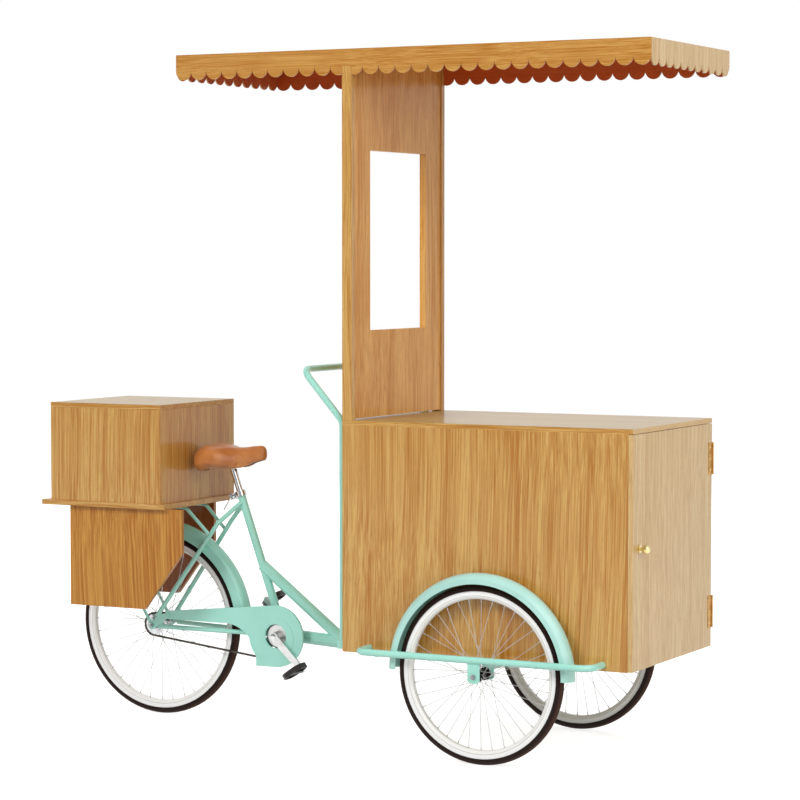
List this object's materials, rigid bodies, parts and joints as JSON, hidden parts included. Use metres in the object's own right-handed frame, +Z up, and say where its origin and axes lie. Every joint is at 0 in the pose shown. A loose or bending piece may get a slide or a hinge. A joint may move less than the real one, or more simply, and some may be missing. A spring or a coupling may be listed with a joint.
{
  "type": "bicycle food cart",
  "caption": "Pedal tricycle food cart with a steered wooden serving cabinet on the front wheels, a window column, a scalloped canopy, and a box on the rear rack.",
  "frame": {"origin": "on the ground below the steering axis, at the middle of the bottom of the bounding box", "axes": "+X forward to the cabinet's door, +Y to the rider's left, +Z up"},
  "size_m": [2.62, 0.999, 2.575],
  "materials": {
    "tyre": "matt",
    "rim": "gloss",
    "spoke": "bright",
    "hub": "bright",
    "steel": "satin",
    "chrome": "bright",
    "mint_paint": "gloss",
    "oak": "satin lacquer",
    "brass": "satin",
    "pedal": "matt",
    "chain": "oiled",
    "leather": "polished"
  },
  "bodies": {
    "rear_unit": {"frame": "mint_paint", "steering_bushes": "brass", "bottom_bracket": "steel", "chain": "chain", "chain_guard": "mint_paint", "rear_axle": "steel", "fender_rear": "mint_paint", "rack": "mint_paint", "shelf": "oak", "box_walls": "oak", "lid_hinge_frames": "brass", "pannier_panels": "oak", "seat_clamp": "chrome"},
    "front_unit": {"front_axles": "steel", "chassis": "mint_paint", "side_rail_right": "mint_paint", "side_rail_left": "mint_paint", "king_pin": "steel", "push_bar": "mint_paint", "fender_right": "mint_paint", "fender_left": "mint_paint", "cabinet_side_right": "oak", "cabinet_side_left": "oak", "cabinet_back": "oak", "cabinet_floor": "oak", "worktop": "oak", "door_hinge_frames": "brass", "column_stiles": "oak", "column_panel": "oak", "canopy_roof": "oak", "fascia_sides": "oak", "fascia_ends": "oak"},
    "cabinet_door": {"door": "oak", "door_hinge_leaves": "brass", "door_knob": "brass"},
    "wheel_front_right": {"tyre_front_right": "tyre", "rim_front_right": "rim", "spokes_front_right": "spoke", "hub_front_right": "hub"},
    "wheel_front_left": {"tyre_front_left": "tyre", "rim_front_left": "rim", "spokes_front_left": "spoke", "hub_front_left": "hub"},
    "wheel_rear": {"tyre_rear": "tyre", "rim_rear": "rim", "spokes_rear": "spoke", "hub_rear": "hub"},
    "crankset": {"crank_spindle": "steel", "crank_right": "chrome", "crank_left": "chrome", "chainring": "steel"},
    "right_pedal": {"pedal_right": "pedal"},
    "left_pedal": {"pedal_left": "pedal"},
    "rear_sprocket": {"sprocket": "steel"},
    "seat": {"seat_post": "chrome", "saddle_cover": "leather", "saddle_frame": "chrome"},
    "seat_lever": {"clamp_lever": "chrome"},
    "carrier_lid": {"box_lid": "oak", "lid_hinge_leaves": "brass"}
  },
  "joints": [
    {"name": "steering", "type": "hinge", "parent": "rear_unit", "child": "front_unit", "pos_m": [0, 0, 0.358], "axis": [0, 0, 1], "range_deg": [-35, 35]},
    {"name": "door_swing", "type": "hinge", "parent": "front_unit", "child": "cabinet_door", "pos_m": [1.2534, 0.3814, 0.79], "axis": [0, 0, 1], "range_deg": [0, 170]},
    {"name": "front_right_roll", "type": "hinge", "parent": "front_unit", "child": "wheel_front_right", "pos_m": [0.6852, -0.425, 0.325], "axis": [0, 1, 0], "continuous": true},
    {"name": "front_left_roll", "type": "hinge", "parent": "front_unit", "child": "wheel_front_left", "pos_m": [0.6852, 0.425, 0.325], "axis": [0, 1, 0], "continuous": true},
    {"name": "rear_roll", "type": "hinge", "parent": "rear_unit", "child": "wheel_rear", "pos_m": [-0.93359, 0, 0.361], "axis": [0, 1, 0], "continuous": true},
    {"name": "crank_turn", "type": "hinge", "parent": "rear_unit", "child": "crankset", "pos_m": [-0.371, 0, 0.35], "axis": [0, 1, 0], "continuous": true, "deforming": ["chain"]},
    {"name": "sprocket_turn", "type": "hinge", "parent": "rear_unit", "child": "rear_sprocket", "pos_m": [-0.93359, 0, 0.361], "axis": [0, 1, 0], "continuous": true},
    {"name": "right_pedal_turn", "type": "hinge", "parent": "crankset", "child": "right_pedal", "pos_m": [-0.24871, -0.132, 0.23191], "axis": [0, 1, 0], "continuous": true},
    {"name": "left_pedal_turn", "type": "hinge", "parent": "crankset", "child": "left_pedal", "pos_m": [-0.49329, 0.132, 0.46809], "axis": [0, 1, 0], "continuous": true},
    {"name": "seat_height", "type": "slide", "parent": "rear_unit", "child": "seat", "axis": [-0.3371, 0, 0.9415], "range_m": [-0.05, 0.05]},
    {"name": "seat_lever_swing", "type": "hinge", "parent": "rear_unit", "child": "seat_lever", "pos_m": [-0.59289, -0.024, 0.8813], "axis": [-0.8387, 0, 0.5446], "range_deg": [0, 150]},
    {"name": "lid_swing", "type": "hinge", "parent": "rear_unit", "child": "carrier_lid", "pos_m": [-1.2734, 0, 1.22775], "axis": [0, -1, 0], "range_deg": [0, 92]}
  ],
  "couplings": [
    {"joint": "sprocket_turn", "follows": "crank_turn", "ratio": 2.1818}
  ]
}
